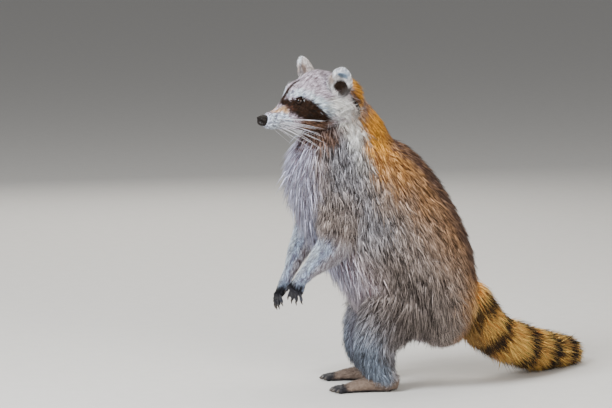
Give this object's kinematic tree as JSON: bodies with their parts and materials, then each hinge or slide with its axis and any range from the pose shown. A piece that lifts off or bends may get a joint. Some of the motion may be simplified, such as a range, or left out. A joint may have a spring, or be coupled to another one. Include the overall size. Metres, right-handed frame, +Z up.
{
  "type": "raccoon",
  "caption": "Life-size standing raccoon, still display model: upright on its hind legs with forelegs hanging, head turned to its left and ringed tail resting on the floor behind.",
  "frame": {"origin": "on the floor under the middle of the bounding box", "axes": "+Z up; the body faces -X and its left side faces -Y"},
  "size_m": [0.4826, 0.3546, 0.4805],
  "materials": {
    "coat_grizzled": "grizzled grey-brown fur, matt",
    "coat_pale": "pale silver to cream fur, matt",
    "coat_ochre": "golden ochre fur with brown tips, matt",
    "coat_ringed": "buff fur with dark rings, matt",
    "paw_skin": "near-black skin under very short hair",
    "nose_skin": "black, moist and finely grained",
    "eye": "dark brown, wet and glossy"
  },
  "bodies": {
    "root": {"head": "coat_grizzled", "lower_jaw": "coat_pale", "nose": "nose_skin", "eye_left": "eye", "eye_right": "eye", "ear_left": "coat_pale", "ear_right": "coat_pale", "neck": "coat_ochre", "trunk": "coat_grizzled", "upper_foreleg_left": "coat_grizzled", "upper_foreleg_right": "coat_grizzled", "lower_foreleg_left": "coat_pale", "lower_foreleg_right": "coat_pale", "forepaw_left": "paw_skin", "forepaw_right": "paw_skin", "thigh_left": "coat_grizzled", "thigh_right": "coat_grizzled", "shank_left": "coat_grizzled", "shank_right": "coat_grizzled", "hindpaw_left": "paw_skin", "hindpaw_right": "paw_skin", "tail_base": "coat_ringed", "tail_middle": "coat_ringed", "tail_tip": "coat_ringed"}
  },
  "joints": []
}
